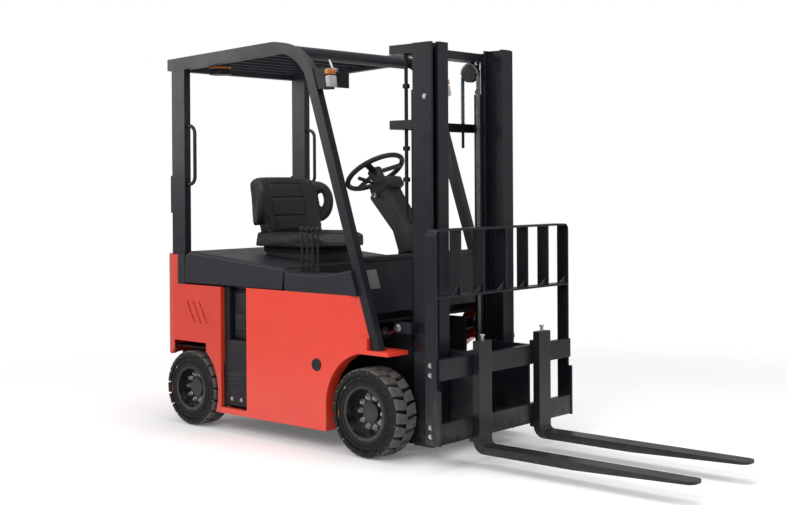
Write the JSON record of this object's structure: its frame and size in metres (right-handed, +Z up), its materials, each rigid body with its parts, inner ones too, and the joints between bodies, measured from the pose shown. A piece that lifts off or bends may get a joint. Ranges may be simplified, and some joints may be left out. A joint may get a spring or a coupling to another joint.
{
  "type": "electric counterbalance forklift truck",
  "caption": "Ride-on electric counterbalance lift truck with overhead guard, hinged hood with seat, steered rear wheels and a tilting two-stage mast with forks.",
  "frame": {"origin": "on the ground under the middle of the overall length, on the centre line", "axes": "+X forward over the forks, +Y to the driver's left, +Z up"},
  "size_m": [3.402, 1.126, 2.165],
  "materials": {
    "body_red": "satin paint",
    "counterweight_red": "satin paint",
    "frame_black": "satin paint",
    "mast_black": "satin paint",
    "fork_black": "satin paint",
    "battery_case": "satin",
    "hood_plastic": "grained",
    "control_plastic": "grained",
    "lamp_case": "gloss",
    "rubber_pad": "matte",
    "seat_cover": "grained",
    "tyre_rubber": "matte",
    "rim_black": "satin paint",
    "bare_steel": "plated",
    "rod_chrome": "polished"
  },
  "bodies": {
    "chassis": {"chassis_frame": "frame_black", "battery": "battery_case", "side_panel_right": "body_red", "side_panel_left": "body_red", "counterweight": "counterweight_red", "tow_pin": "bare_steel", "hood_trim": "hood_plastic", "hood_hinges": "bare_steel", "side_console": "hood_plastic", "levers": "control_plastic", "guard_side_right": "frame_black", "guard_side_left": "frame_black", "guard_roof": "frame_black", "grab_handles": "frame_black", "floor_plate": "frame_black", "front_cowl": "frame_black", "steering_column": "control_plastic", "pedals": "rubber_pad", "work_lamps": "lamp_case", "mirrors": "lamp_case", "beacon": "lamp_case", "rear_lamps": "lamp_case", "drive_axle": "frame_black", "steer_axle": "frame_black"},
    "hood": {"hood": "hood_plastic", "seat_base": "control_plastic", "seat_cushion": "seat_cover", "seat_back": "seat_cover"},
    "steering_wheel": {"steering_wheel": "control_plastic"},
    "mast_outer": {"mast_outer": "mast_black", "lift_barrels": "mast_black", "chain_rear": "bare_steel"},
    "mast_inner": {"mast_inner": "mast_black", "lift_rods": "rod_chrome", "chain_pulleys": "bare_steel", "chain_wrap": "bare_steel", "chain_front": "bare_steel"},
    "carriage": {"carriage_frame": "mast_black", "load_backrest": "mast_black", "fork_right": "fork_black", "fork_left": "fork_black", "fork_pins": "bare_steel"},
    "tilt_barrels": {"tilt_barrels": "mast_black"},
    "tilt_rods": {"tilt_rods": "rod_chrome"},
    "front_wheel_right": {"tyre_front_right": "tyre_rubber", "rim_front_right": "rim_black"},
    "knuckle_right": {"knuckle_right": "frame_black"},
    "rear_wheel_right": {"tyre_rear_right": "tyre_rubber", "rim_rear_right": "rim_black"},
    "front_wheel_left": {"tyre_front_left": "tyre_rubber", "rim_front_left": "rim_black"},
    "knuckle_left": {"knuckle_left": "frame_black"},
    "rear_wheel_left": {"tyre_rear_left": "tyre_rubber", "rim_rear_left": "rim_black"}
  },
  "joints": [
    {"name": "front_wheel_right_spin", "type": "hinge", "parent": "chassis", "child": "front_wheel_right", "pos_m": [-0.016, -0.455, 0.229], "axis": [0, 1, 0], "continuous": true},
    {"name": "steer_right", "type": "hinge", "parent": "chassis", "child": "knuckle_right", "pos_m": [-1.392, -0.335, 0.216], "axis": [0, 0, 1], "range_deg": [-75, 75]},
    {"name": "rear_wheel_right_spin", "type": "hinge", "parent": "knuckle_right", "child": "rear_wheel_right", "pos_m": [-1.392, -0.462, 0.216], "axis": [0, 1, 0], "continuous": true},
    {"name": "front_wheel_left_spin", "type": "hinge", "parent": "chassis", "child": "front_wheel_left", "pos_m": [-0.016, 0.455, 0.229], "axis": [0, 1, 0], "continuous": true},
    {"name": "steer_left", "type": "hinge", "parent": "chassis", "child": "knuckle_left", "pos_m": [-1.392, 0.335, 0.216], "axis": [0, 0, 1], "range_deg": [-75, 75]},
    {"name": "rear_wheel_left_spin", "type": "hinge", "parent": "knuckle_left", "child": "rear_wheel_left", "pos_m": [-1.392, 0.462, 0.216], "axis": [0, 1, 0], "continuous": true},
    {"name": "steering_wheel_turn", "type": "hinge", "parent": "chassis", "child": "steering_wheel", "pos_m": [-0.418, 0, 1.457], "axis": [-0.5592, 0, 0.829], "continuous": true},
    {"name": "hood_lift", "type": "hinge", "parent": "chassis", "child": "hood", "pos_m": [-1.423, 0, 0.973], "axis": [0, -1, 0], "range_deg": [0, 45]},
    {"name": "mast_tilt", "type": "hinge", "parent": "chassis", "child": "mast_outer", "pos_m": [-0.016, 0, 0.229], "axis": [0, 1, 0], "range_deg": [-10, 6]},
    {"name": "mast_lift", "type": "slide", "parent": "mast_outer", "child": "mast_inner", "axis": [0, 0, 1], "range_m": [0, 1.5], "deforming": ["chain_front", "chain_rear"]},
    {"name": "carriage_lift", "type": "slide", "parent": "mast_inner", "child": "carriage", "axis": [0, 0, 1], "range_m": [0, 1.5]},
    {"name": "tilt_barrel_turn", "type": "hinge", "parent": "chassis", "child": "tilt_barrels", "pos_m": [-0.286, 0, 0.53], "axis": [0, 1, 0], "range_deg": [-6.3, 3.8]},
    {"name": "tilt_rod_slide", "type": "slide", "parent": "tilt_barrels", "child": "tilt_rods", "axis": [0.9487, 0, 0.3162], "range_m": [-0.0663, 0.0402]}
  ],
  "couplings": [
    {"joint": "steer_left", "follows": "steer_right", "ratio": 1},
    {"joint": "carriage_lift", "follows": "mast_lift", "ratio": 1},
    {"joint": "tilt_barrel_turn", "follows": "mast_tilt", "ratio": 0.617},
    {"joint": "tilt_rod_slide", "follows": "mast_tilt", "m_per_rad": 0.374}
  ]
}
